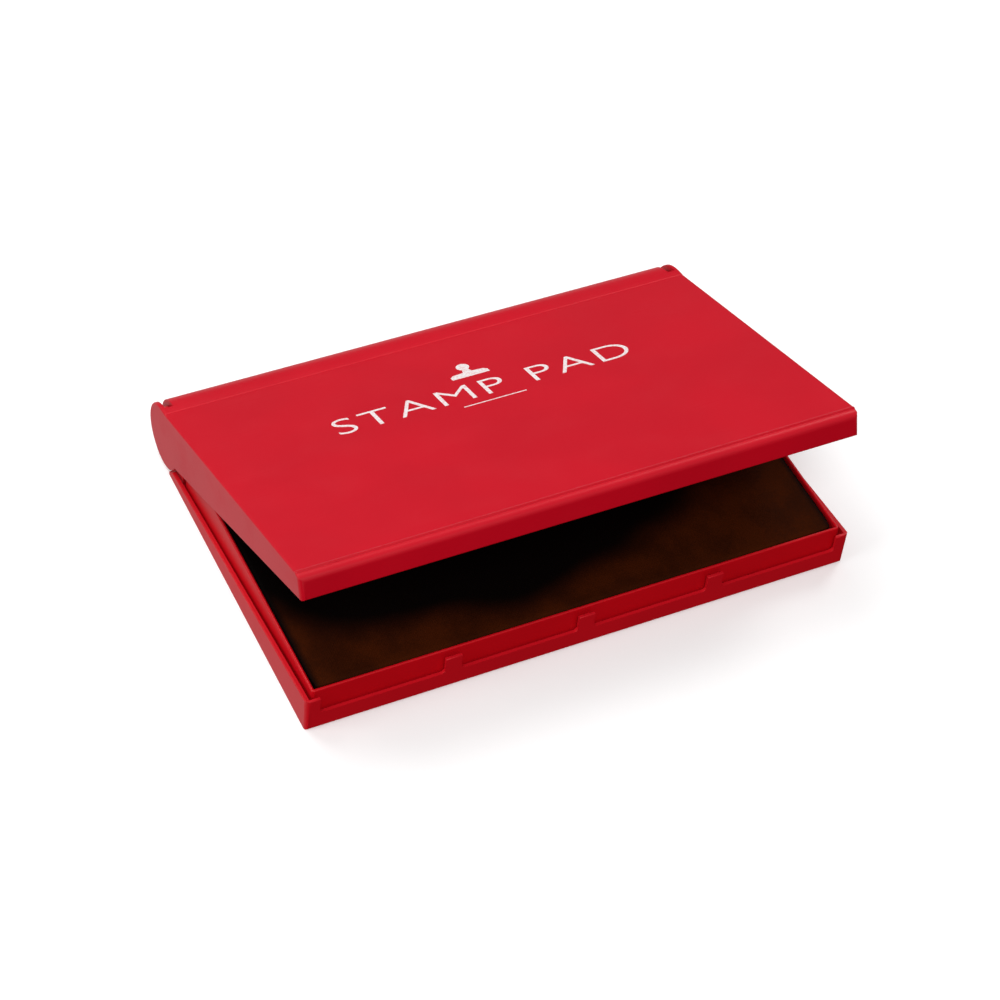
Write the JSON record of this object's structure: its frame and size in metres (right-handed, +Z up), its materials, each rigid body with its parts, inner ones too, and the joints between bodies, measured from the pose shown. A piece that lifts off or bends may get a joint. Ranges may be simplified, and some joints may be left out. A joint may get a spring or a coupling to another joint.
{
  "type": "hinged stamp ink pad",
  "caption": "Flat moulded plastic case with a hinged lid over an ink-soaked cloth pad, for inking rubber stamps.",
  "frame": {"origin": "middle of the case in plan, on the surface it rests on", "axes": "+X along the hinge, the long side, to the right as the lid opens towards the user; +Y from the opening front to the hinge; +Z up"},
  "size_m": [0.12, 0.0834, 0.0386],
  "materials": {
    "lid_red": "satin moulded polystyrene",
    "base_red": "satin moulded polystyrene",
    "tray_red": "satin moulded polystyrene",
    "board": "raw greyboard",
    "felt": "ink-soaked wool felt",
    "cloth": "ink-soaked woven cotton",
    "pin_steel": "drawn steel pin",
    "print_white": "white pad-printed ink on the lid"
  },
  "bodies": {
    "base": {"base_shell": "base_red", "pad_tray": "tray_red", "backing_board": "board", "ink_felt": "felt", "pad_cloth": "cloth"},
    "lid": {"lid_shell": "lid_red", "hinge_pin_left": "pin_steel", "hinge_pin_right": "pin_steel"}
  },
  "joints": [
    {"name": "lid_hinge", "type": "hinge", "parent": "base", "child": "lid", "pos_m": [0, 0.0344, 0.0076], "axis": [-1, 0, 0], "range_deg": [-18.8, 161.2]}
  ]
}
